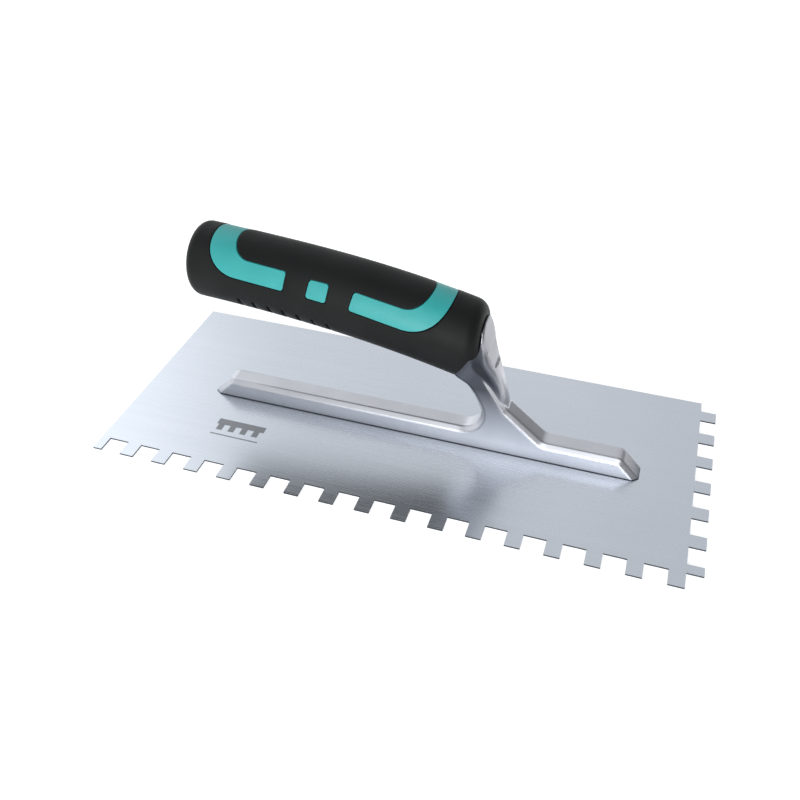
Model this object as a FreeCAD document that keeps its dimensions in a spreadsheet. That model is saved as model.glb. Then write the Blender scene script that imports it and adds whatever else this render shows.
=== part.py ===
import FreeCAD, Part
import os
import Sketcher
from FreeCAD import Placement, Rotation, Vector

# Notched trowel: a stainless blade with square notches along its front edge and its right edge,
# riveted to an aluminium casting whose curved shank carries a round soft-grip handle.
# Frame: X along the blade, Y across it towards the plain back edge, +Z up, in millimetres.
# The origin is the centre of the blade's underside.

doc = FreeCAD.newDocument("notched_trowel")
sheet = doc.addObject("Spreadsheet::Sheet", "Sizes")

# Driving dimensions: alias, value, what it is
DIMENSIONS = [
    # blade
    ("blade_length", 280.0, "whole length, notched right edge included"),
    ("blade_width", 122.2, "whole width, front teeth included"),
    ("blade_thickness", 0.8, "sheet thickness"),
    ("notch_width", 9.92, "clear width of every notch"),
    ("front_depth", 8.2, "depth of the notches along the front edge"),
    ("front_land", 6.86, "width of a tooth along the front edge"),
    ("front_count", 16, "notches along the front edge"),
    ("front_first", 4.3, "width of the leftmost front tooth"),
    ("side_depth", 7.2, "depth of the notches along the right edge"),
    ("side_land", 7.19, "width of a tooth along the right edge"),
    ("side_count", 6, "whole notches along the right edge"),
    ("side_first", 4.86, "width of the right edge's tooth nearest the front"),
    # rib of the casting
    ("mount_width", 12.0, "width of the rib and the shank"),
    ("mount_chamfer", 2.1, "chamfer along the rib and the shank"),
    ("rib_top", 10.9, "height of the rib's top face"),
    ("rib_rear", -104.4, "rear tip of the rib"),
    ("rib_front", 108.8, "front tip of the rib"),
    ("rib_slope", 9.6, "length of the sloped end of the rib"),
    ("corner_radius", 4.5, "rounding of the rib's top corners, of the toe and of the kink"),
    # shank of the casting
    ("heel_x", 38.9, "where the shank's rear line meets the rib's top"),
    ("heel_radius", 9.8, "rounding between the rib and the shank's rear"),
    ("back_bend_x", 29.0, "bend of the shank's rear line"),
    ("back_bend_z", 33.4, "height of that bend"),
    ("back_radius", 40.0, "rounding of that bend"),
    ("toe_x", 63.8, "where the front slope meets the rib's top"),
    ("kink_x", 45.6, "top of the front slope, where the shield starts"),
    ("kink_z", 26.1, "height of that kink"),
    ("front_bend_x", 37.3, "bend of the shank's front line"),
    ("front_bend_z", 39.0, "height of that bend"),
    ("shank_top", 52.0, "height where the shank ends inside the handle's outline"),
    ("shank_lip", 1.1, "how far the top of the shank reaches into the shield"),
    ("shank_reach", 18.0, "how far the top of the shank reaches back under the handle"),
    ("shank_step", 4.0, "height of the short rear end of the shank's top"),
    # handle
    ("nose_x", 31.9, "front end plane of the handle"),
    ("nose_z", 57.3, "height of the handle's axis at its front end"),
    ("tail_x", -102.7, "rear end plane of the handle"),
    ("tail_z", 76.85, "height of the handle's axis at its rear end"),
    ("nose_rounding", 7.0, "edge rounding of the handle's front end"),
    ("tail_rounding", 4.0, "edge rounding of the handle's rear end"),
    ("grip_wall", 2.6, "thickness of the soft grip"),
    ("fit_gap", 0.1, "clearance between pieces that slide together"),
    ("window_gap", 0.35, "gap between a raised area of the core and its window"),
    ("land_sink", 0.12, "how far a raised area lies below the grip's surface"),
    ("groove_pitch", 7.05, "spacing of the grooves under the grip"),
    ("groove_width", 1.5, "width of one groove"),
    ("groove_depth", 0.7, "depth of one groove"),
    ("groove_first_x", -77.6, "place of the rearmost groove"),
    ("groove_count", 7, "grooves under the grip"),
    ("groove_drop", 7.0, "how far below the axis the grooves end"),
    # fixing of the handle
    ("tang_radius", 6.0, "round tang of the casting"),
    ("tang_length", 62.0, "length of the tang behind the handle's front end"),
    ("tang_root", 1.4, "how deep the tang starts inside the shield"),
    ("bolt_radius", 3.0, "shank radius of the tie bolt, M6"),
    ("bolt_engagement", 20.0, "how deep the tie bolt sits in the tang"),
    ("tap_depth", 24.0, "depth of the tapped hole in the tang"),
    ("head_radius", 5.0, "head of the tie bolt"),
    ("head_height", 6.0, "height of that head"),
    ("key_width", 5.0, "hexagon socket of that head, across its flats"),
    ("key_depth", 3.0, "depth of that socket"),
    ("washer_radius", 6.0, "outer radius of the washer"),
    ("washer_thickness", 1.6, "thickness of the washer"),
    ("well_radius", 6.6, "hole in the rear end for the head and the plug"),
    ("well_depth", 24.0, "depth of that hole"),
    ("plug_length", 9.0, "length of the end plug"),
    # rivets
    ("rivet_count", 8, "rivets along the rib"),
    ("rivet_pitch", 26.0, "spacing of the rivets"),
    ("rivet_first_x", -88.8, "place of the rearmost rivet"),
    ("rivet_radius", 2.0, "shank of a rivet"),
    ("rivet_head_radius", 3.6, "countersunk head at the blade's underside"),
    ("rivet_length", 7.4, "whole length of a rivet"),
    # shoulder of the casting, which the slanted front end of the handle sits on
    ("seat_x", 29.1, "front top corner of the slanted seat"),
    ("seat_z", 58.6, "height of that corner"),
    ("seat_tilt", 58.6, "tilt of the seat from level, in degrees"),
    ("seat_run", 22.0, "length of the seat down to the handle's underside"),
    # shield
    ("panel_x", 37.55, "middle of the sunk panel in the shield's front"),
    ("panel_z", 53.5, "height of that middle"),
    ("panel_lean", 19.5, "lean of the panel from upright, in degrees"),
    ("panel_depth", 0.7, "depth of the panel's floor at its middle"),
    ("panel_rounding", 1.0, "rounding of the panel's corners"),
]

# Stations along the handle: share of the length from the rear, rise of the axis above the straight
# line between the two end centres, and radius. Every section is round in an upright plane.
HANDLE_STATIONS = [
    (0.0, 0.0, 17.25),
    (0.25, 2.38, 17.26),
    (0.5, 3.6, 17.53),
    (0.75, 2.98, 17.87),
    (1.0, 0.0, 18.1),
]

# Level sections through the shield, from the kink to its top: height, half width,
# X of its side edges, X of its front, X of its back, and how square its front's curve is
SHIELD_SECTIONS = [
    (22.4, 3.8, 43.0, 46.1, 38.0, 2.6),
    (27.4, 3.9, 43.9, 45.6, 38.0, 2.6),
    (35.4, 4.6, 39.6, 43.8, 34.0, 2.6),
    (43.4, 6.1, 35.2, 41.4, 30.0, 2.6),
    (50.6, 8.6, 31.9, 38.7, 29.6, 2.8),
    (57.9, 10.0, 32.2, 36.1, 30.6, 3.2),
    (62.0, 10.0, 32.6, 34.9, 32.0, 3.4),
    (65.6, 8.8, 32.6, 33.9, 32.0, 3.2),
    (68.2, 6.4, 32.6, 33.3, 32.0, 3.0),
    (69.9, 2.6, 32.5, 32.9, 32.0, 3.0),
]

# Sections through the shoulder, parallel to the seat: distance below the seat, half width,
# and where its rear and its front lie along the seat
SHOULDER_SECTIONS = [
    (-1.5, 9.8, -15.8, 1.4),
    (2.0, 9.2, -16.8, 0.4),
    (5.0, 8.1, -17.8, -3.2),
    (8.5, 6.8, -18.7, -7.4),
    (12.5, 5.8, -19.6, -10.8),
]

# Plain sunk panel in the shield's front: corners across and up from its middle
PANEL_CORNERS = [(-6.0, -4.9), (6.0, -4.9), (8.0, 4.9), (-8.0, 4.9)]

# Width of the cutters that go right across the handle, and how far a cutter runs past an end
CUTTER_WIDTH = 60
OVERRUN = 5

# Windows of the grip, seen from the side. Each corner is X, Z, the signs that lead from it into the
# window, and the rounding there.
WINDOWS = {
    "rear_band": [
        (-54.7, 76.8, -1, 1, 1.2),
        (-92.2, 80.4, 1, 1, 15.5),
        (-92.2, 101.0, 1, 0, 0),
        (-81.6, 101.0, -1, 0, 0),
        (-81.6, 87.6, -1, -1, 10.5),
        (-53.9, 84.9, -1, -1, 1.2),
    ],
    "side_square": [
        (-44.6, 75.6, 1, 1, 1.2),
        (-34.9, 74.5, -1, 1, 1.2),
        (-34.0, 82.4, -1, -1, 1.2),
        (-43.5, 83.3, 1, -1, 1.2),
    ],
    "front_band": [
        (-24.9, 73.15, 1, 1, 1.2),
        (20.5, 64.4, -1, 1, 18.0),
        (20.5, 95.0, -1, 0, 0),
        (11.3, 95.0, 1, 0, 0),
        (11.3, 74.7, 1, -1, 11.0),
        (-23.3, 80.9, 1, -1, 1.2),
    ],
}


def fill_sheet():
    """Every driving number gets a cell of its own with an alias."""
    rows = list(DIMENSIONS)
    for index, (share, rise, radius) in enumerate(HANDLE_STATIONS, start=1):
        rows.append(("station_share_%d" % index, share, "handle station, share of the length"))
        rows.append(("station_rise_%d" % index, rise, "handle station, rise of the axis"))
        rows.append(("station_radius_%d" % index, radius, "handle station, radius"))
    for name, corners in WINDOWS.items():
        for index, (x, z, _, _, _) in enumerate(corners, start=1):
            rows.append(("%s_x_%d" % (name, index), x, "window corner"))
            rows.append(("%s_z_%d" % (name, index), z, "window corner"))
    for index, (y, z) in enumerate(PANEL_CORNERS, start=1):
        rows.append(("panel_y_%d" % index, y, "panel corner"))
        rows.append(("panel_z_%d" % index, z, "panel corner"))
    for row, (alias, number, note) in enumerate(rows, start=1):
        sheet.set("A%d" % row, str(number))
        sheet.setAlias("A%d" % row, alias)
        sheet.set("B%d" % row, note)
    doc.recompute()


fill_sheet()


def value(formula):
    """Number that a formula of the sheet's aliases gives now."""
    return float(sheet.evalExpression(formula))


def size(alias):
    """Number in one cell of the sheet."""
    return float(sheet.get(alias))


# ---------------------------------------------------------------- helpers for features

def new_body(name):
    body = doc.addObject("PartDesign::Body", name)
    body.Label = name
    return body


def origin_part(body, role):
    for feature in body.Origin.OriginFeatures:
        if feature.Role == role:
            return feature
    raise ValueError("no origin feature " + role)


def outline(body, name, role, corners):
    """Closed sketch of straight lines. Each corner is a pair of formulas of the sheet's aliases."""
    sketch = body.newObject("Sketcher::SketchObject", name)
    sketch.AttachmentSupport = (origin_part(body, role), [""])
    sketch.MapMode = "FlatFace"
    points = []
    for along, across in corners:
        points.append(Vector(value(along), value(across), 0))
    for index, point in enumerate(points):
        following = points[(index + 1) % len(points)]
        sketch.addGeometry(Part.LineSegment(point, following))
    for index in range(len(points)):
        sketch.addConstraint(Sketcher.Constraint("Coincident", index, 2, (index + 1) % len(points), 1))
    for index, (along, across) in enumerate(corners):
        distances = [
            ("DistanceX", along, points[index].x),
            ("DistanceY", across, points[index].y),
        ]
        for kind, formula, number in distances:
            place = sketch.addConstraint(Sketcher.Constraint(kind, -1, 1, index, 1, number))
            sketch.setExpression("Constraints[%d]" % place, formula)
    return sketch


def pad(body, name, sketch, length, side="One side", reverse=False):
    feature = body.newObject("PartDesign::Pad", name)
    feature.Profile = sketch
    feature.SideType = side
    feature.Reversed = reverse
    feature.setExpression("Length", length)
    doc.recompute()
    return feature


def pocket(body, name, sketch, length, side="One side", reverse=False):
    """Pocket that must take material away."""
    before = body.Shape.Volume
    feature = body.newObject("PartDesign::Pocket", name)
    feature.Profile = sketch
    feature.SideType = side
    feature.Reversed = reverse
    feature.setExpression("Length", length)
    doc.recompute()
    if body.Shape.Volume > before - 0.01:
        raise RuntimeError(name + " cuts nothing")
    return feature


def row_of(body, name, feature, role, length, count):
    """Linear pattern of a feature along one axis of the body."""
    pattern = body.newObject("PartDesign::LinearPattern", name)
    pattern.Originals = [feature]
    pattern.Direction = (origin_part(body, role), [""])
    pattern.setExpression("Length", length)
    pattern.setExpression("Occurrences", count)
    body.Tip = pattern
    doc.recompute()
    return pattern


def edges_where(shape, wanted):
    """Names of the edges whose middle point and edge pass a test."""
    names = []
    for index, edge in enumerate(shape.Edges, start=1):
        middle = edge.valueAt((edge.FirstParameter + edge.LastParameter) / 2)
        if wanted(edge, middle):
            names.append("Edge%d" % index)
    return names


def round_edges(body, name, base, names, radius):
    feature = body.newObject("PartDesign::Fillet", name)
    feature.Base = (base, names)
    feature.setExpression("Radius", radius)
    doc.recompute()
    return feature


def boolean(kind, name, base, tool):
    feature = doc.addObject(kind, name)
    feature.Base = base
    feature.Tool = tool
    feature.Label = name
    doc.recompute()
    shape = feature.Shape
    if shape.isNull() or not shape.isValid():
        raise RuntimeError(name + " has no sound shape")
    if abs(shape.Volume - sum(solid.Volume for solid in shape.Solids)) > 0.5:
        raise RuntimeError(name + " isn't a clean set of solids")
    return feature


def cylinder(name, radius, length, start):
    """Cylinder along the tang's axis: start is the distance behind the handle's front end."""
    feature = doc.addObject("Part::Cylinder", name)
    feature.setExpression("Radius", radius)
    feature.setExpression("Height", length)
    on_tang_axis(feature, start)
    return feature


# ---------------------------------------------------------------- blade

def build_blade():
    """Flat sheet, notches punched out of the front and right edges, holes for the rivets."""
    body = new_body("blade_sheet_body")
    sheet_outline = outline(body, "blade_outline", "XY_Plane", [
        ("-Sizes.blade_length / 2", "-Sizes.blade_width / 2"),
        ("Sizes.blade_length / 2", "-Sizes.blade_width / 2"),
        ("Sizes.blade_length / 2", "Sizes.blade_width / 2"),
        ("-Sizes.blade_length / 2", "Sizes.blade_width / 2"),
    ])
    pad(body, "blade_sheet", sheet_outline, "Sizes.blade_thickness")

    left = "-Sizes.blade_length / 2 + Sizes.front_first"
    front = "-Sizes.blade_width / 2"
    notch = outline(body, "front_notch_outline", "XY_Plane", [
        (left, front + " - 1"),
        (left + " + Sizes.notch_width", front + " - 1"),
        (left + " + Sizes.notch_width", front + " + Sizes.front_depth"),
        (left, front + " + Sizes.front_depth"),
    ])
    first = pocket(body, "front_notch", notch, "Sizes.blade_thickness", reverse=True)
    row_of(body, "front_notches", first, "X_Axis",
           "(Sizes.front_count - 1) * (Sizes.notch_width + Sizes.front_land)", "Sizes.front_count")

    right = "Sizes.blade_length / 2"
    low = "-Sizes.blade_width / 2 + Sizes.front_depth + Sizes.side_first"
    notch = outline(body, "side_notch_outline", "XY_Plane", [
        (right + " - Sizes.side_depth", low),
        (right + " + 1", low),
        (right + " + 1", low + " + Sizes.notch_width"),
        (right + " - Sizes.side_depth", low + " + Sizes.notch_width"),
    ])
    first = pocket(body, "side_notch", notch, "Sizes.blade_thickness", reverse=True)
    row_of(body, "side_notches", first, "Y_Axis",
           "(Sizes.side_count - 1) * (Sizes.notch_width + Sizes.side_land)", "Sizes.side_count")

    # The corner between the two rows of teeth is cut away, and so is the last part notch at the back.
    corner = outline(body, "front_corner_outline", "XY_Plane", [
        (right + " - Sizes.side_depth", front + " - 1"),
        (right + " + 1", front + " - 1"),
        (right + " + 1", front + " + Sizes.front_depth"),
        (right + " - Sizes.side_depth", front + " + Sizes.front_depth"),
    ])
    pocket(body, "front_corner", corner, "Sizes.blade_thickness", reverse=True)
    last = low + " + Sizes.side_count * (Sizes.notch_width + Sizes.side_land)"
    corner = outline(body, "back_corner_outline", "XY_Plane", [
        (right + " - Sizes.side_depth", last),
        (right + " + 1", last),
        (right + " + 1", "Sizes.blade_width / 2 + 1"),
        (right + " - Sizes.side_depth", "Sizes.blade_width / 2 + 1"),
    ])
    pocket(body, "back_corner", corner, "Sizes.blade_thickness", reverse=True)
    return body


# ---------------------------------------------------------------- rivets

def build_rivets():
    """Countersunk rivets in a row under the rib, as separate solids of one body."""
    body = new_body("blade_rivets")
    body.AllowCompound = True
    neck = "Sizes.rivet_head_radius - Sizes.blade_thickness"
    along = "Sizes.rivet_first_x"
    profile = outline(body, "rivet_profile", "XZ_Plane", [
        (along, "0"),
        (along + " + Sizes.rivet_head_radius", "0"),
        (along + " + " + neck, "Sizes.blade_thickness"),
        (along + " + Sizes.rivet_radius", "Sizes.blade_thickness"),
        (along + " + Sizes.rivet_radius", "Sizes.rivet_length"),
        (along, "Sizes.rivet_length"),
    ])
    turned = body.newObject("PartDesign::Revolution", "rivet_turned")
    turned.Profile = profile
    turned.ReferenceAxis = (profile, ["Edge%d" % len(profile.Geometry)])
    turned.Angle = 360
    doc.recompute()
    row_of(body, "rivet_row", turned, "X_Axis",
           "(Sizes.rivet_count - 1) * Sizes.rivet_pitch", "Sizes.rivet_count")
    return body


# ---------------------------------------------------------------- handle outline

def handle_outline(name, inset):
    """Solid inside the handle's outer surface: inset is a formula for how far inside."""
    circles = []
    rear = "(Sizes.tail_x + (%s))" % inset
    front = "(Sizes.nose_x - (%s))" % inset
    for index in range(1, len(HANDLE_STATIONS) + 1):
        share = "Sizes.station_share_%d" % index
        rise = "Sizes.station_rise_%d" % index
        circle = doc.addObject("Part::Circle", "%s_section_%d" % (name, index))
        circle.setExpression("Radius", "Sizes.station_radius_%d - (%s)" % (index, inset))
        circle.Placement = Placement(Vector(), Rotation(Vector(0, 1, 0), 90))
        circle.setExpression("Placement.Base.x", "%s + %s * (%s - %s)" % (rear, share, front, rear))
        circle.setExpression("Placement.Base.z",
                             "Sizes.tail_z + %s * (Sizes.nose_z - Sizes.tail_z) + %s" % (share, rise))
        circles.append(circle)
    loft = doc.addObject("Part::Loft", name + "_loft")
    loft.Sections = circles
    loft.Solid = True
    loft.Ruled = False
    doc.recompute()

    rounding = doc.addObject("Part::Fillet", name)
    rounding.Base = loft
    chosen = []
    for index, edge in enumerate(loft.Shape.Edges, start=1):
        box = edge.BoundBox
        if box.XLength > 0.01:
            continue
        at_nose = box.XMax > 0
        radius = size("nose_rounding") if at_nose else size("tail_rounding")
        radius = max(radius - value(inset), 1.0)
        chosen.append((index, radius, radius))
    rounding.Edges = chosen
    rounding.Label = name
    doc.recompute()
    return rounding


def axis_height(x):
    """Height of the handle's curved axis, for places that follow it."""
    share = (x - size("tail_x")) / (size("nose_x") - size("tail_x"))
    rise = 4 * size("station_rise_3") * share * (1 - share)
    return size("tail_z") + share * (size("nose_z") - size("tail_z")) + rise


# ---------------------------------------------------------------- tang axis

def tang_direction():
    """Unit vector along the tang, from the handle's front end to its rear end."""
    return Vector(size("tail_x") - size("nose_x"), 0, size("tail_z") - size("nose_z")).normalize()


def on_tang_axis(feature, start):
    """Lay a feature's own Z axis on the tang's axis, start behind the handle's front end."""
    nose = Vector(size("nose_x"), 0, size("nose_z"))
    turn = Rotation(Vector(0, 0, 1), tang_direction())
    feature.Placement = Placement(nose + tang_direction() * value(start), turn)


TAIL_DISTANCE = "sqrt((Sizes.nose_x - Sizes.tail_x)^2 + (Sizes.tail_z - Sizes.nose_z)^2)"
SEAT_DISTANCE = "(%s - Sizes.well_depth)" % TAIL_DISTANCE


# ---------------------------------------------------------------- casting

def shield_section(height, half_width, edge_x, front_x, back_x, fullness):
    """Closed wire: a full, crowned front between two side edges, and a straight back."""
    front = []
    for step in range(13):
        across = -1 + step / 6
        crown = (1 - abs(across) ** fullness) ** (1 / fullness)
        front.append(Vector(edge_x + (front_x - edge_x) * crown, across * half_width, height))
    curve = Part.BSplineCurve()
    curve.interpolate(front)
    near_back = Vector(back_x, -half_width, height)
    far_back = Vector(back_x, half_width, height)
    return Part.Wire([
        Part.LineSegment(near_back, front[0]).toShape(),
        curve.toShape(),
        Part.LineSegment(front[-1], far_back).toShape(),
        Part.LineSegment(far_back, near_back).toShape(),
    ])


def build_shield():
    """Crowned shield: its freely curved front is a loft that sketches of lines can't give."""
    shield = doc.addObject("Part::Feature", "shield")
    wires = [shield_section(*section) for section in SHIELD_SECTIONS]
    shield.Shape = Part.makeLoft(wires, True, False)
    return shield


def build_rib_and_shank():
    """Side outline of the rib and the shank, padded to its width, rounded and chamfered."""
    body = new_body("rib_and_shank")
    top = "Sizes.rib_top"
    side = outline(body, "side_outline", "XZ_Plane", [
        ("Sizes.rib_rear", "Sizes.blade_thickness"),
        ("Sizes.rib_front", "Sizes.blade_thickness"),
        ("Sizes.rib_front - Sizes.rib_slope", top),
        ("Sizes.toe_x", top),
        ("Sizes.kink_x", "Sizes.kink_z"),
        ("Sizes.front_bend_x", "Sizes.front_bend_z"),
        ("Sizes.nose_x + Sizes.shank_lip", "Sizes.shank_top - 1.5 * Sizes.shank_step"),
        ("Sizes.nose_x + Sizes.shank_lip", "Sizes.shank_top"),
        ("Sizes.nose_x - Sizes.shank_reach + Sizes.shank_step / 2", "Sizes.shank_top"),
        ("Sizes.nose_x - Sizes.shank_reach", "Sizes.shank_top - Sizes.shank_step"),
        ("Sizes.back_bend_x", "Sizes.back_bend_z"),
        ("Sizes.heel_x", top),
        ("Sizes.rib_rear + Sizes.rib_slope", top),
    ])
    solid = pad(body, "rib_and_shank_pad", side, "Sizes.mount_width", side="Symmetric")

    def crease_at(x, z):
        def test(edge, middle):
            return abs(middle.y) < 0.1 and abs(middle.x - x) < 0.2 and abs(middle.z - z) < 0.2
        return test

    corners = edges_where(solid.Shape, crease_at(size("rib_rear") + size("rib_slope"), size("rib_top")))
    corners += edges_where(solid.Shape, crease_at(size("rib_front") - size("rib_slope"), size("rib_top")))
    corners += edges_where(solid.Shape, crease_at(size("toe_x"), size("rib_top")))
    corners += edges_where(solid.Shape, crease_at(size("kink_x"), size("kink_z")))
    solid = round_edges(body, "corner_rounding", solid, corners, "Sizes.corner_radius")
    heel = edges_where(solid.Shape, crease_at(size("heel_x"), size("rib_top")))
    solid = round_edges(body, "heel_rounding", solid, heel, "Sizes.heel_radius")
    back = edges_where(solid.Shape, crease_at(size("back_bend_x"), size("back_bend_z")))
    front = edges_where(solid.Shape, crease_at(size("front_bend_x"), size("front_bend_z")))
    solid = round_edges(body, "bend_rounding", solid, back + front, "Sizes.back_radius")

    half = size("mount_width") / 2
    inside_handle = size("shank_top") - size("shank_step") - 1

    def rim(edge, middle):
        on_side = abs(abs(middle.y) - half) < 0.01
        return on_side and size("blade_thickness") + 0.1 < middle.z < inside_handle

    chamfer = body.newObject("PartDesign::Chamfer", "mount_chamfer_edges")
    chamfer.Base = (solid, edges_where(solid.Shape, rim))
    chamfer.setExpression("Size", "Sizes.mount_chamfer")
    doc.recompute()
    return body


def seat_point(along, across, below):
    """Place in the seat's own directions: up along the seat, across it, and below it."""
    tilt = Rotation(Vector(0, 1, 0), -size("seat_tilt"))
    corner = Vector(size("seat_x"), 0, size("seat_z"))
    return corner + tilt.multVec(Vector(along, across, -below))


def build_shoulder():
    """Shoulder: a loft that flares from the shank's width to the handle's seat."""
    wires = []
    for below, half_width, rear, front in SHOULDER_SECTIONS:
        corners = [
            seat_point(rear, -half_width, below),
            seat_point(front, -half_width, below),
            seat_point(front, half_width, below),
            seat_point(rear, half_width, below),
        ]
        wires.append(Part.makePolygon(corners + corners[:1]))
    shoulder = doc.addObject("Part::Feature", "shoulder")
    shoulder.Shape = Part.makeLoft(wires, True, False)
    return shoulder


def build_seat_relief(name, inset):
    """Space under the slanted front end of the handle: inset is a formula for how far inside it."""
    body = new_body(name)
    front = "Sizes.nose_x + 2"
    front_x = "Sizes.seat_x - (%s) * sin(Sizes.seat_tilt * 1deg)" % inset
    front_z = "Sizes.seat_z + (%s) * cos(Sizes.seat_tilt * 1deg)" % inset
    rear_x = front_x + " - Sizes.seat_run * cos(Sizes.seat_tilt * 1deg)"
    rear_z = front_z + " - Sizes.seat_run * sin(Sizes.seat_tilt * 1deg)"
    relief = outline(body, name + "_outline", "XZ_Plane", [
        (front_x, front_z),
        (rear_x, rear_z),
        (rear_x, rear_z + " - 10"),
        (front, rear_z + " - 10"),
        (front, front_z),
    ])
    pad(body, name + "_pad", relief, str(CUTTER_WIDTH), side="Symmetric")
    return body


def build_panel_cutter():
    """Space in front of the panel's flat floor, which leans back as the shield's front does."""
    body = new_body("panel_cutter")
    corners = []
    for index in range(1, len(PANEL_CORNERS) + 1):
        corners.append(("Sizes.panel_y_%d" % index, "Sizes.panel_z_%d" % index))
    panel = outline(body, "panel_outline", "YZ_Plane", corners)
    solid = pad(body, "panel_pad", panel, "Sizes.mount_width / 2")
    upright = edges_where(solid.Shape, lambda edge, middle: edge.BoundBox.XLength > 1)
    round_edges(body, "panel_corners", solid, upright, "Sizes.panel_rounding")
    lean = Rotation(Vector(0, 1, 0), -size("panel_lean"))
    middle = Vector(size("panel_x"), 0, size("panel_z"))
    body.Placement = Placement(middle - lean.multVec(Vector(size("panel_depth"), 0, 0)), lean)
    return body


def build_mount(rivets):
    """One casting: rib, shank, shield and the tang that reaches into the handle."""
    shield = boolean("Part::Cut", "shield_with_panel", build_shield(), build_panel_cutter())
    shank = boolean("Part::Fuse", "shank_with_shoulder", build_rib_and_shank(), build_shoulder())
    body = boolean("Part::Fuse", "mount_blank", shank, shield)
    tang = cylinder("tang", "Sizes.tang_radius", "Sizes.tang_length + Sizes.tang_root", "-Sizes.tang_root")
    body = boolean("Part::Fuse", "mount_with_tang", body, tang)
    tapped = cylinder("tapped_hole", "Sizes.bolt_radius", "Sizes.tap_depth + 1",
                      "Sizes.tang_length - Sizes.tap_depth")
    body = boolean("Part::Cut", "mount_tapped", body, tapped)
    return boolean("Part::Cut", "blade_mount", body, rivets)


# ---------------------------------------------------------------- handle

def build_window(name, shrink):
    """Prism across the handle through one window's outline, shrunk for the raised area in it."""
    label = "%s_%s" % (name, "land" if shrink else "window")
    gap = "Sizes.window_gap" if shrink else "0"
    corners = []
    for index, (_, _, into_x, into_z, _) in enumerate(WINDOWS[name], start=1):
        corners.append((
            "Sizes.%s_x_%d + %d * %s" % (name, index, into_x, gap),
            "Sizes.%s_z_%d + %d * %s" % (name, index, into_z, gap),
        ))
    body = new_body(label)
    sketch = outline(body, label + "_outline", "XZ_Plane", corners)
    solid = pad(body, label + "_pad", sketch, str(CUTTER_WIDTH), side="Symmetric")
    for index, (along, upward) in enumerate(corners):
        rounding = WINDOWS[name][index][4]
        if rounding == 0:
            continue
        x = value(along)
        z = value(upward)
        found = edges_where(solid.Shape, lambda edge, middle: abs(middle.y) < 0.1
                            and abs(middle.x - x) < 0.05 and abs(middle.z - z) < 0.05)
        solid = round_edges(body, "%s_rounding_%d" % (label, index + 1), solid, found, str(rounding))
    return body


def window_group(shrink):
    group = doc.addObject("Part::Compound", "lands" if shrink else "windows")
    group.Links = [build_window(name, shrink) for name in WINDOWS]
    doc.recompute()
    return group


def build_groove_cutter():
    """Shallow grooves across the grip's underside, ending part way up each side."""
    slabs = []
    for index in range(int(size("groove_count"))):
        x = size("groove_first_x") + index * size("groove_pitch")
        slab = doc.addObject("Part::Box", "groove_slab_%d" % (index + 1))
        slab.setExpression("Length", "Sizes.groove_width")
        slab.Width = CUTTER_WIDTH
        slab.Height = CUTTER_WIDTH / 2
        low = axis_height(x) - size("groove_drop") - CUTTER_WIDTH / 2
        slab.Placement = Placement(Vector(x - size("groove_width") / 2, -CUTTER_WIDTH / 2, low), Rotation())
        slabs.append(slab)
    group = doc.addObject("Part::Compound", "groove_slabs")
    group.Links = slabs
    floor = handle_outline("groove_floor", "Sizes.groove_depth")
    return boolean("Part::Cut", "groove_cutter", group, floor)


def build_grip(surface, core_slanted, mount):
    """Soft skin over the core, open at its windows, at the tang and at the rear."""
    grip = boolean("Part::Cut", "grip_skin", surface, core_slanted)
    grip = boolean("Part::Cut", "grip_slanted", grip, build_seat_relief("seat_relief", "0"))
    grip = boolean("Part::Cut", "grip_windows", grip, window_group(False))
    grip = boolean("Part::Cut", "grip_grooved", grip, build_groove_cutter())
    front = cylinder("grip_tang_hole", "Sizes.tang_radius + Sizes.fit_gap",
                     "%d + Sizes.well_depth" % OVERRUN, "-%d" % OVERRUN)
    grip = boolean("Part::Cut", "grip_front_open", grip, front)
    rear = cylinder("grip_well", "Sizes.well_radius", "Sizes.well_depth + %d" % OVERRUN, SEAT_DISTANCE)
    grip = boolean("Part::Cut", "grip_rear_open", grip, rear)
    return boolean("Part::Cut", "soft_grip", grip, mount)


def build_core(core_slanted, land_surface, mount):
    """Hard core with its raised areas, bored for the tang, the tie bolt and the bolt's head."""
    lands = boolean("Part::Common", "raised_areas", land_surface, window_group(True))
    core = boolean("Part::Fuse", "core_solid", core_slanted, lands)
    tang = cylinder("tang_bore", "Sizes.tang_radius + Sizes.fit_gap",
                    "Sizes.tang_length + %d + 1" % OVERRUN, "-%d" % OVERRUN)
    core = boolean("Part::Cut", "core_tang_bored", core, tang)
    bolt = cylinder("bolt_bore", "Sizes.bolt_radius + 3 * Sizes.fit_gap", TAIL_DISTANCE, "0")
    core = boolean("Part::Cut", "core_bolt_bored", core, bolt)
    well = cylinder("core_well", "Sizes.well_radius", "Sizes.well_depth + %d" % OVERRUN, SEAT_DISTANCE)
    core = boolean("Part::Cut", "core_rear_open", core, well)
    return boolean("Part::Cut", "handle_core", core, mount)


def build_washer():
    outer = cylinder("washer_disc", "Sizes.washer_radius", "Sizes.washer_thickness", SEAT_DISTANCE)
    hole = cylinder("washer_hole", "Sizes.bolt_radius + 2 * Sizes.fit_gap", "Sizes.washer_thickness + 2",
                    SEAT_DISTANCE + " - 1")
    return boolean("Part::Cut", "bolt_washer", outer, hole)


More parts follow.
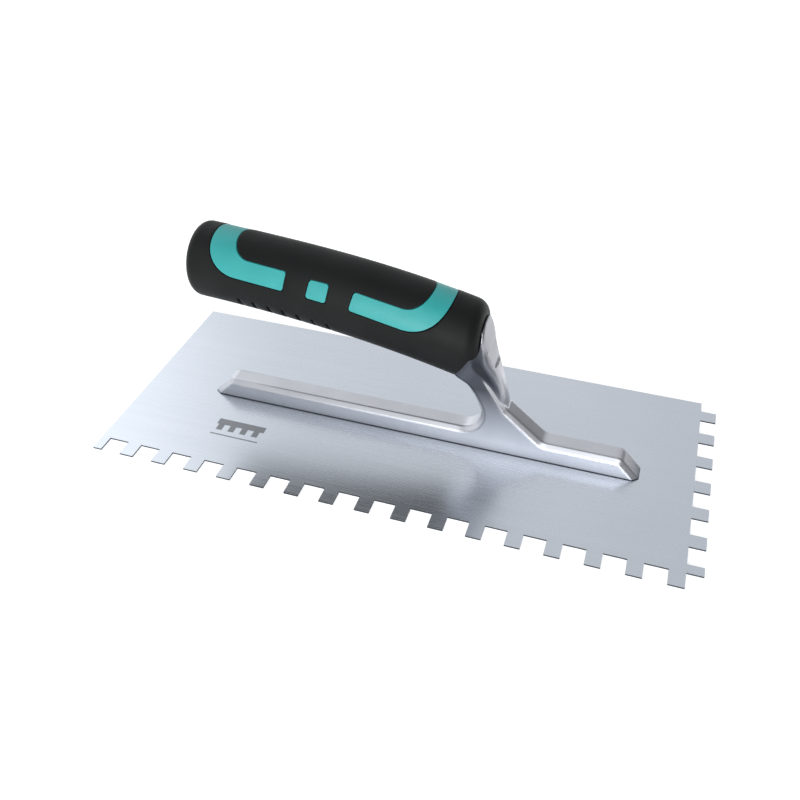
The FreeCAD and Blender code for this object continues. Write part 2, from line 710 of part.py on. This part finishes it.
def build_bolt():
    """Socket head bolt from the rear seat into the tang."""
    head_at = SEAT_DISTANCE + " + Sizes.washer_thickness"
    tip_at = "Sizes.tang_length - Sizes.bolt_engagement"
    shank = cylinder("bolt_shank", "Sizes.bolt_radius", "%s - (%s)" % (head_at, tip_at), tip_at)
    head = cylinder("bolt_head", "Sizes.head_radius", "Sizes.head_height", head_at)
    bolt = boolean("Part::Fuse", "bolt_blank", shank, head)
    socket = doc.addObject("Part::Prism", "bolt_socket")
    socket.Polygon = 6
    socket.setExpression("Circumradius", "Sizes.key_width / sqrt(3)")
    socket.setExpression("Height", "Sizes.key_depth + 1")
    on_tang_axis(socket, head_at + " + Sizes.head_height - Sizes.key_depth")
    return boolean("Part::Cut", "tie_bolt", bolt, socket)


def build_plug(land_surface):
    """Plug in the rear well, flush with the grip's end."""
    plug = cylinder("plug_blank", "Sizes.well_radius - Sizes.fit_gap", "Sizes.plug_length + %d" % OVERRUN,
                    TAIL_DISTANCE + " - Sizes.plug_length")
    return boolean("Part::Common", "end_plug", plug, land_surface)


# ---------------------------------------------------------------- assembly

def build_trowel():
    rivets = build_rivets()
    blade = boolean("Part::Cut", "blade", build_blade(), rivets)
    mount = build_mount(rivets)
    surface = handle_outline("handle_surface", "0")
    core_surface = handle_outline("core_surface", "Sizes.grip_wall")
    core_relief = build_seat_relief("core_relief", "Sizes.grip_wall")
    core_slanted = boolean("Part::Cut", "core_slanted", core_surface, core_relief)
    land_surface = handle_outline("land_surface", "Sizes.land_sink")
    return [
        blade,
        rivets,
        mount,
        build_core(core_slanted, land_surface, mount),
        build_grip(surface, core_slanted, mount),
        build_bolt(),
        build_washer(),
        build_plug(land_surface),
    ]


def check_document(pieces):
    """Stop before anything is written if an object failed or a piece has no sound shape."""
    for item in doc.Objects:
        if "Invalid" in item.State or "Error" in item.State:
            raise RuntimeError("%s failed: %s" % (item.Label, item.State))
    for piece in pieces:
        if piece.Shape.isNull() or not piece.Shape.isValid():
            raise RuntimeError(piece.Label + " has no sound shape")


def write_pieces(pieces):
    os.makedirs("parts", exist_ok=True)
    for piece in pieces:
        piece.Shape.exportStep("parts/%s.step" % piece.Label)
        box = piece.Shape.BoundBox
        print("%-14s solids %d  volume %9.1f  X %7.1f %7.1f  Y %6.1f %6.1f  Z %6.1f %6.1f" % (
            piece.Label, len(piece.Shape.Solids), piece.Shape.Volume,
            box.XMin, box.XMax, box.YMin, box.YMax, box.ZMin, box.ZMax))


trowel = build_trowel()
doc.recompute()
check_document(trowel)
write_pieces(trowel)
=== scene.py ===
from math import radians

import bmesh
import bpy
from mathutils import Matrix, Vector


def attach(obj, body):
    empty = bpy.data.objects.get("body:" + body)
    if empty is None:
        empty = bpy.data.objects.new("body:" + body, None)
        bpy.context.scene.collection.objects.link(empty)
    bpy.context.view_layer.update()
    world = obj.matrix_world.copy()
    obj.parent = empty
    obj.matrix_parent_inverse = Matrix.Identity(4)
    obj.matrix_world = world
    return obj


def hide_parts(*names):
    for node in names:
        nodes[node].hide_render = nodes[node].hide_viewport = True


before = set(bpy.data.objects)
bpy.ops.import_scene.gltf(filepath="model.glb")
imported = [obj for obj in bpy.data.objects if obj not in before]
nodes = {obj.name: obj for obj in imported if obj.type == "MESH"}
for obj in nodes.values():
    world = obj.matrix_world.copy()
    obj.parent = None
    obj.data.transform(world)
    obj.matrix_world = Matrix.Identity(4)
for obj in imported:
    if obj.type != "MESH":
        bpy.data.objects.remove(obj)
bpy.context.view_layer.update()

# Notched trowel on a white table. Lengths are in metres and the frame is the CAD model's own:
# X along the blade, Y across it towards its plain edge, Z up, origin under the blade's centre.

# Camera: place, turn in degrees, lens and sensor in millimetres
CAMERA_PLACE = (0.09414, -0.30948, 0.28056)
CAMERA_TURN = (50.84, 0.07, 18.0)
CAMERA_LENS = 39.46
CAMERA_NEAR = 0.01
SENSOR_WIDTH = 36.0

# Table: half its width, its height, its paint, and the glow that makes it a light table
FLOOR_REACH = 4.0
FLOOR_HEIGHT = -0.0004
FLOOR_COLOR = (0.80, 0.80, 0.80)
FLOOR_ROUGHNESS = 0.9
FLOOR_GLOW = 0.55

# Studio: brightness of the whole room, and soft brighter parts of it. Each part has the direction it
# lies in, the cosine where it fades out, the cosine where it is full, and the strength it adds.
STUDIO_COLOR = (0.96, 0.98, 1.0)
STUDIO_BASE = 0.20
STUDIO_PARTS = [
    ((-0.95, 0.00, 0.30), 0.535, 0.70, 0.84),
    ((-0.15, 0.80, 0.58), 0.55, 0.93, 0.50),
    ((-0.22, 0.85, 0.47), 0.92, 0.995, 0.15),
    ((0.20, -0.76, 0.60), 0.80, 0.98, 1.60),
]

# Front lamp: place, aim, width and height, power in watts
FRONT_LAMP = ((0.35, -1.7, 0.45), (0.0, 0.0, 0.05), (1.6, 0.7), 14.0)

# Eased copy of the casting: size of the remesh's cells, and smoothing passes
CASTING_CELL = 0.00045
CASTING_PASSES = 6

# Eased copy of the grip: width and steps of its rounded rims, the crease in degrees that gets one,
# and how close two corners are when they are really the same one
RIM_WIDTH = 0.0004
RIM_STEPS = 3
RIM_CREASE = 38
WELD = 0.000002

# Comb pictogram on the blade's top: the front left corner of its row of teeth, how many teeth there
# are and how far apart, and where in that distance a tooth starts and ends. Then how far behind that
# corner its teeth, its bar and its rule start and end, and the height below which nothing is marked
MARK_PLACE = (-0.092, -0.0315, 0.0)
MARK_TEETH = 4
MARK_PITCH = 0.0062
MARK_TOOTH = (0.2, 0.7)
MARK_TEETH_SPAN = (0.0, 0.004)
MARK_BAR_SPAN = (0.004, 0.008)
MARK_RULE_SPAN = (-0.0035, -0.0027)
MARK_FLOOR = 0.0005

# Heights between which the casting's painted shade comes and goes: the contact shadow at its foot, the
# shade high on the shank's sides, and the shade round its top. Then the greatest share of foot shadow
# and top shade
FOOT_SHADOW_SPAN = (0.0011, 0.0015)
SIDE_SHADE_SPAN = (0.007, 0.036)
TOP_SHADE_SPAN = (0.038, 0.056)
FOOT_SHADOW_SHARE = 0.9
TOP_SHADE_SHARE = 0.5

# How far a hollow's shadow reaches on the casting, and how many rays look for it
HOLLOW_REACH = 0.008
HOLLOW_RAYS = 12

# Colours, in pairs or sets for one material
STEEL_DARK = (0.680, 0.720, 0.785)
STEEL_LIGHT = (0.710, 0.750, 0.815)
STEEL_STREAK = (0.655, 0.695, 0.755)
STEEL_ETCHED = (0.30, 0.31, 0.33)
STEEL_PUNCHED = (0.070, 0.073, 0.082)
CASTING_DARK = (0.60, 0.61, 0.65)
CASTING_LIGHT = (0.655, 0.665, 0.705)
# Painted shade for the casting's hollows
CASTING_HOLLOW_SHADE = (0.20, 0.205, 0.22)
# Painted shade for the shank's sides and top
CASTING_SHANK_SHADE = (0.085, 0.09, 0.105)
# Painted contact shadow at the casting's foot
CASTING_FOOT_SHADOW = (0.05, 0.052, 0.06)
RUBBER_DARK = (0.0065, 0.0070, 0.0070)
RUBBER_LIGHT = (0.0095, 0.0100, 0.0100)
RUBBER_GLOSS = 0.17
TEAL_DARK = (0.027, 0.345, 0.337)
TEAL_LIGHT = (0.034, 0.378, 0.370)
PLUG_DARK = (0.016, 0.017, 0.017)
PLUG_LIGHT = (0.023, 0.024, 0.024)
FASTENER_CLEAN = (0.62, 0.63, 0.66)
FASTENER_STAIN = (0.45, 0.45, 0.46)

# Parts of a noise's range that are put to use, the full share, and two directions
MOST = (0.25, 0.75)
MIDDLE = (0.3, 0.7)
FULL = (0.0, 1.0)
UP = (0, 0, 1)
SIDEWAYS = (0, 1, 0)


# ---------------------------------------------------------------- camera, table and light

def add_camera():
    """The photo's viewpoint: from the front, above and a little to the right."""
    data = bpy.data.cameras.new("camera")
    data.lens = CAMERA_LENS
    data.sensor_width = SENSOR_WIDTH
    data.clip_start = CAMERA_NEAR
    camera = bpy.data.objects.new("camera", data)
    camera.location = CAMERA_PLACE
    camera.rotation_euler = [radians(angle) for angle in CAMERA_TURN]
    bpy.context.scene.collection.objects.link(camera)
    bpy.context.scene.camera = camera


def add_lamp(name, place, aim, size, power):
    """A rectangular white light at one place, turned towards another."""
    data = bpy.data.lights.new(name, "AREA")
    data.shape = "RECTANGLE"
    data.size, data.size_y = size
    data.energy = power
    lamp = bpy.data.objects.new(name, data)
    lamp.location = place
    lamp.rotation_euler = (Vector(aim) - Vector(place)).to_track_quat("-Z", "Y").to_euler()
    bpy.context.scene.collection.objects.link(lamp)


def add_floor():
    """Plain white table just under the blade."""
    mesh = bpy.data.meshes.new("floor")
    corners = [
        (-FLOOR_REACH, -FLOOR_REACH, FLOOR_HEIGHT),
        (FLOOR_REACH, -FLOOR_REACH, FLOOR_HEIGHT),
        (FLOOR_REACH, FLOOR_REACH, FLOOR_HEIGHT),
        (-FLOOR_REACH, FLOOR_REACH, FLOOR_HEIGHT),
    ]
    mesh.from_pydata(corners, [], [(0, 1, 2, 3)])
    floor = bpy.data.objects.new("floor", mesh)
    bpy.context.scene.collection.objects.link(floor)
    material, shader, _ = new_material("table_white")
    shader.inputs["Base Color"].default_value = (*FLOOR_COLOR, 1)
    shader.inputs["Roughness"].default_value = FLOOR_ROUGHNESS
    shader.inputs["Specular IOR Level"].default_value = 0.0
    shader.inputs["Emission Color"].default_value = (1, 1, 1, 1)
    shader.inputs["Emission Strength"].default_value = FLOOR_GLOW
    mesh.materials.append(material)


def set_studio():
    """Grey room with soft bright and dark sides, as metal needs something to mirror."""
    world = bpy.data.worlds.new("studio")
    world.use_nodes = True
    tree = world.node_tree
    background = tree.nodes["Background"]
    direction = tree.nodes.new("ShaderNodeTexCoord").outputs["Generated"]
    total = STUDIO_BASE
    for toward, edge, core, strength in STUDIO_PARTS:
        cosine = vector_math(tree, "DOT_PRODUCT", direction, Vector(toward).normalized())
        part = spread(tree, cosine, (edge, core), (0.0, strength), smooth=True)
        total = math_node(tree, "ADD", part, total)
    tree.links.new(total, background.inputs["Strength"])
    background.inputs["Color"].default_value = (*STUDIO_COLOR, 1)
    bpy.context.scene.world = world


# ---------------------------------------------------------------- node helpers

def feed(tree, socket, source):
    """Give an input socket either another node's output or a constant."""
    if isinstance(source, bpy.types.NodeSocket):
        tree.links.new(source, socket)
    else:
        socket.default_value = source


def math_node(tree, operation, first, second=0.0):
    node = tree.nodes.new("ShaderNodeMath")
    node.operation = operation
    feed(tree, node.inputs[0], first)
    feed(tree, node.inputs[1], second)
    return node.outputs[0]


def vector_math(tree, operation, first, second):
    """Vector operation. A dot product's number is its second output."""
    node = tree.nodes.new("ShaderNodeVectorMath")
    node.operation = operation
    feed(tree, node.inputs[0], first)
    feed(tree, node.inputs[1], second)
    return node.outputs["Value" if operation == "DOT_PRODUCT" else "Vector"]


def spread(tree, source, given, wanted, smooth=False):
    """Map one range of numbers to another, clamped at both ends."""
    node = tree.nodes.new("ShaderNodeMapRange")
    if smooth:
        node.interpolation_type = "SMOOTHSTEP"
    node.inputs["From Min"].default_value, node.inputs["From Max"].default_value = given
    node.inputs["To Min"].default_value, node.inputs["To Max"].default_value = wanted
    feed(tree, node.inputs["Value"], source)
    return node.outputs["Result"]


def strip(tree, source, limits):
    """One where a number lies between two limits, and zero elsewhere."""
    low, high = limits
    above = math_node(tree, "GREATER_THAN", source, low)
    below = math_node(tree, "LESS_THAN", source, high)
    return math_node(tree, "MULTIPLY", above, below)


def place_on_object(tree):
    return tree.nodes.new("ShaderNodeTexCoord").outputs["Object"]


def split(tree, vector):
    """The three outputs of a vector's parts."""
    node = tree.nodes.new("ShaderNodeSeparateXYZ")
    tree.links.new(vector, node.inputs[0])
    return node.outputs


def facing(tree, output, axis):
    """How squarely a face looks along an axis, either way: from zero to one."""
    normal = tree.nodes.new("ShaderNodeNewGeometry").outputs[output]
    return math_node(tree, "ABSOLUTE", vector_math(tree, "DOT_PRODUCT", normal, axis))


def grain(tree, scale, detail=2.0, stretch=(1, 1, 1)):
    """Noise from 0 to 1 in the object's own space: scale is cells for each metre."""
    vector = vector_math(tree, "MULTIPLY", place_on_object(tree), stretch)
    node = tree.nodes.new("ShaderNodeTexNoise")
    node.inputs["Scale"].default_value = scale
    node.inputs["Detail"].default_value = detail
    feed(tree, node.inputs["Vector"], vector)
    return node.outputs["Fac"]


def blend(tree, factor, first, second):
    """Mix of two colours."""
    node = tree.nodes.new("ShaderNodeMix")
    node.data_type = "RGBA"
    feed(tree, node.inputs["Factor"], factor)
    for socket, colour in ((node.inputs[6], first), (node.inputs[7], second)):
        if isinstance(colour, bpy.types.NodeSocket):
            tree.links.new(colour, socket)
        else:
            socket.default_value = (*colour, 1)
    return node.outputs[2]


def bump(tree, height, depth, below=None):
    """Surface relief: depth in metres for a height of one."""
    node = tree.nodes.new("ShaderNodeBump")
    node.inputs["Strength"].default_value = 1.0
    node.inputs["Distance"].default_value = depth
    feed(tree, node.inputs["Height"], height)
    if below is not None:
        feed(tree, node.inputs["Normal"], below)
    return node.outputs["Normal"]


def new_material(name):
    material = bpy.data.materials.new(name)
    material.use_nodes = True
    tree = material.node_tree
    return material, tree.nodes["Principled BSDF"], tree


def finish_material(shader, tree, colour, roughness, normal):
    feed(tree, shader.inputs["Base Color"], colour)
    feed(tree, shader.inputs["Roughness"], roughness)
    feed(tree, shader.inputs["Normal"], normal)


# ---------------------------------------------------------------- materials

def blade_steel():
    """Stainless sheet, brushed along its length, with dull punched edges and a comb pictogram."""
    material, shader, tree = new_material("blade_steel")
    shader.inputs["Metallic"].default_value = 1.0
    brushing = grain(tree, 1.0, 3.0, (14, 1500, 1500))
    streaks = grain(tree, 1.0, 2.0, (5, 260, 260))
    clouds = grain(tree, 16.0)
    colour = blend(tree, spread(tree, clouds, MIDDLE, FULL), STEEL_DARK, STEEL_LIGHT)
    colour = blend(tree, spread(tree, streaks, MIDDLE, (0, 0.35)), colour, STEEL_STREAK)
    roughness = spread(tree, brushing, MOST, (0.25, 0.32))
    etched = mark_mask(tree)
    colour = blend(tree, etched, colour, STEEL_ETCHED)
    roughness = math_node(tree, "ADD", roughness, math_node(tree, "MULTIPLY", etched, 0.2))
    edge = edge_mask(tree)
    colour = blend(tree, edge, colour, STEEL_PUNCHED)
    roughness = math_node(tree, "ADD", roughness, math_node(tree, "MULTIPLY", edge, 0.25))
    finish_material(shader, tree, colour, roughness, bump(tree, brushing, 0.0000013))
    return material


def edge_mask(tree):
    """One on the sheet's upright faces, where it was punched, and zero on its flat faces."""
    return spread(tree, facing(tree, "True Normal", UP), (0.3, 0.6), (1.0, 0.0))


def mark_mask(tree):
    """Plain pictogram of the comb that a notched edge makes: a bar with square teeth, over a rule."""
    axes = split(tree, vector_math(tree, "SUBTRACT", place_on_object(tree), MARK_PLACE))
    along = axes[0]
    across = axes[1]
    inside = strip(tree, along, (0.0, MARK_TEETH * MARK_PITCH))
    bar = math_node(tree, "MULTIPLY", inside, strip(tree, across, MARK_BAR_SPAN))
    phase = math_node(tree, "FRACT", math_node(tree, "DIVIDE", along, MARK_PITCH))
    row = strip(tree, across, MARK_TEETH_SPAN)
    tooth = math_node(tree, "MULTIPLY", strip(tree, phase, MARK_TOOTH), row)
    tooth = math_node(tree, "MULTIPLY", inside, tooth)
    rule = math_node(tree, "MULTIPLY", inside, strip(tree, across, MARK_RULE_SPAN))
    whole = math_node(tree, "MAXIMUM", bar, math_node(tree, "MAXIMUM", tooth, rule))
    return math_node(tree, "MULTIPLY", whole, math_node(tree, "GREATER_THAN", axes[2], MARK_FLOOR))


def cast_aluminium():
    """Satin casting: fine blasted grain, slow unevenness, and painted shade in its hollows, on the
    shank and at its foot.
    """
    material, shader, tree = new_material("cast_aluminium")
    shader.inputs["Metallic"].default_value = 1.0
    fine = grain(tree, 2600.0)
    slow = grain(tree, 70.0)
    colour = blend(tree, spread(tree, slow, MIDDLE, FULL), CASTING_DARK, CASTING_LIGHT)
    # Painted shade in the casting's hollows
    colour = blend(tree, hollow_painted_shade(tree), colour, CASTING_HOLLOW_SHADE)
    # Painted shade high on the shank's sides and round its top
    colour = blend(tree, shank_painted_shade(tree), colour, CASTING_SHANK_SHADE)
    # Painted contact shadow along the casting's foot
    colour = blend(tree, foot_painted_shadow(tree), colour, CASTING_FOOT_SHADOW)
    roughness = spread(tree, fine, MOST, (0.27, 0.37))
    relief = bump(tree, slow, 0.00002)
    finish_material(shader, tree, colour, roughness, bump(tree, fine, 0.000004, relief))
    return material


def hollow_painted_shade(tree):
    """Share of painted shade in the casting's tight corners, fading towards its open faces."""
    node = tree.nodes.new("ShaderNodeAmbientOcclusion")
    node.samples = HOLLOW_RAYS
    node.inputs["Distance"].default_value = HOLLOW_REACH
    return spread(tree, node.outputs["AO"], (0.35, 0.9), (0.75, 0.0))


def shank_painted_shade(tree):
    """Painted shade on the shank: its two sides, darker higher up, and all round its top."""
    height = split(tree, place_on_object(tree))[2]
    rising = spread(tree, height, SIDE_SHADE_SPAN, FULL)
    sideways = spread(tree, facing(tree, "Normal", SIDEWAYS), (0.75, 0.98), FULL, smooth=True)
    sides = math_node(tree, "MULTIPLY", rising, sideways)
    top = spread(tree, height, TOP_SHADE_SPAN, (0.0, TOP_SHADE_SHARE), smooth=True)
    return math_node(tree, "MAXIMUM", sides, top)


def foot_painted_shadow(tree):
    """Painted contact shadow: a dark line where the casting's foot meets the blade."""
    height = split(tree, place_on_object(tree))[2]
    return spread(tree, height, FOOT_SHADOW_SPAN, (FOOT_SHADOW_SHARE, 0.0))


def black_rubber():
    """Soft-touch rubber: a very fine grain, and slightly polished where the hand rubs it."""
    material, shader, tree = new_material("black_rubber")
    shader.inputs["Specular IOR Level"].default_value = RUBBER_GLOSS
    fine = grain(tree, 3200.0, 3.0)
    worn = grain(tree, 45.0)
    colour = blend(tree, spread(tree, worn, (0.35, 0.7), FULL), RUBBER_DARK, RUBBER_LIGHT)
    texture = spread(tree, fine, MOST, (0.44, 0.56))
    polish = spread(tree, worn, (0.35, 0.7), (0.03, -0.05))
    roughness = math_node(tree, "ADD", texture, polish)
    finish_material(shader, tree, colour, roughness, bump(tree, fine, 0.000012))
    return material


def teal_plastic():
    """Hard satin plastic with a faint moulded mottle."""
    material, shader, tree = new_material("teal_plastic")
    mottle = grain(tree, 90.0, 3.0)
    fine = grain(tree, 2200.0)
    colour = blend(tree, spread(tree, mottle, MIDDLE, FULL), TEAL_DARK, TEAL_LIGHT)
    roughness = spread(tree, fine, MOST, (0.33, 0.42))
    relief = bump(tree, mottle, 0.00001)
    finish_material(shader, tree, colour, roughness, bump(tree, fine, 0.000004, relief))
    return material


def black_plastic():
    """Spark-textured hard plastic."""
    material, shader, tree = new_material("black_plastic")
    fine = grain(tree, 2400.0)
    slow = grain(tree, 120.0)
    colour = blend(tree, spread(tree, slow, MIDDLE, FULL), PLUG_DARK, PLUG_LIGHT)
    roughness = spread(tree, fine, MOST, (0.42, 0.58))
    finish_material(shader, tree, colour, roughness, bump(tree, fine, 0.00001))
    return material


def fastener_steel():
    """Plain steel: fine turned marks across its length, with small stains."""
    material, shader, tree = new_material("fastener_steel")
    shader.inputs["Metallic"].default_value = 1.0
    turned = grain(tree, 1.0, 2.0, (1800, 300, 300))
    stains = grain(tree, 260.0, 3.0)
    colour = blend(tree, spread(tree, stains, (0.45, 0.75), (0, 0.5)), FASTENER_CLEAN, FASTENER_STAIN)
    roughness = spread(tree, turned, MOST, (0.28, 0.42))
    finish_material(shader, tree, colour, roughness, bump(tree, turned, 0.000004))
    return material


# ---------------------------------------------------------------- pieces

def wear(thing, material):
    thing.data.materials.clear()
    thing.data.materials.append(material)


def copy_of(node):
    """Object in the CAD node's place, with its own copy of the node's mesh."""
    mesh = nodes[node].data.copy()
    piece = bpy.data.objects.new(node + "_eased", mesh)
    piece.matrix_world = nodes[node].matrix_world.copy()
    bpy.context.scene.collection.objects.link(piece)
    return piece


def take_over(piece, node, material):
    """Turn the modifiers' result into the piece's own mesh, and let it stand for the CAD node."""
    shaped = bpy.data.meshes.new_from_object(piece.evaluated_get(bpy.context.evaluated_depsgraph_get()))
    piece.modifiers.clear()
    piece.data = shaped
    shaped.polygons.foreach_set("use_smooth", [True] * len(shaped.polygons))
    wear(piece, material)
    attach(piece, "root")
    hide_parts(node)


def ease_casting():
    """The casting with every edge and inner corner run smooth, as cast and tumbled metal is."""
    piece = copy_of("blade_mount")
    cells = piece.modifiers.new("even_cells", "REMESH")
    cells.mode = "VOXEL"
    cells.voxel_size = CASTING_CELL
    ease = piece.modifiers.new("ease", "SMOOTH")
    ease.factor = 0.5
    ease.iterations = CASTING_PASSES
    take_over(piece, "blade_mount", cast_aluminium())


def ease_grip():
    """The soft skin with rounded rims round its windows, its grooves and its two ends."""
    piece = copy_of("soft_grip")
    skin = bmesh.new()
    skin.from_mesh(piece.data)
    bmesh.ops.remove_doubles(skin, verts=skin.verts, dist=WELD)
    skin.to_mesh(piece.data)
    skin.free()
    rim = piece.modifiers.new("rim", "BEVEL")
    rim.limit_method = "ANGLE"
    rim.angle_limit = radians(RIM_CREASE)
    rim.width = RIM_WIDTH
    rim.segments = RIM_STEPS
    rim.use_clamp_overlap = True
    rim.harden_normals = True
    take_over(piece, "soft_grip", black_rubber())


def dress_cad_nodes():
    """Materials for the pieces that are shown as their own CAD meshes."""
    steel = fastener_steel()
    wear(nodes["blade"], blade_steel())
    wear(nodes["blade_rivets"], steel)
    wear(nodes["handle_core"], teal_plastic())
    wear(nodes["tie_bolt"], steel)
    wear(nodes["bolt_washer"], steel)
    wear(nodes["end_plug"], black_plastic())


add_camera()
set_studio()
add_lamp("front_lamp", *FRONT_LAMP)
add_floor()
dress_cad_nodes()
ease_casting()
ease_grip()
bpy.context.scene.view_settings.view_transform = "Standard"
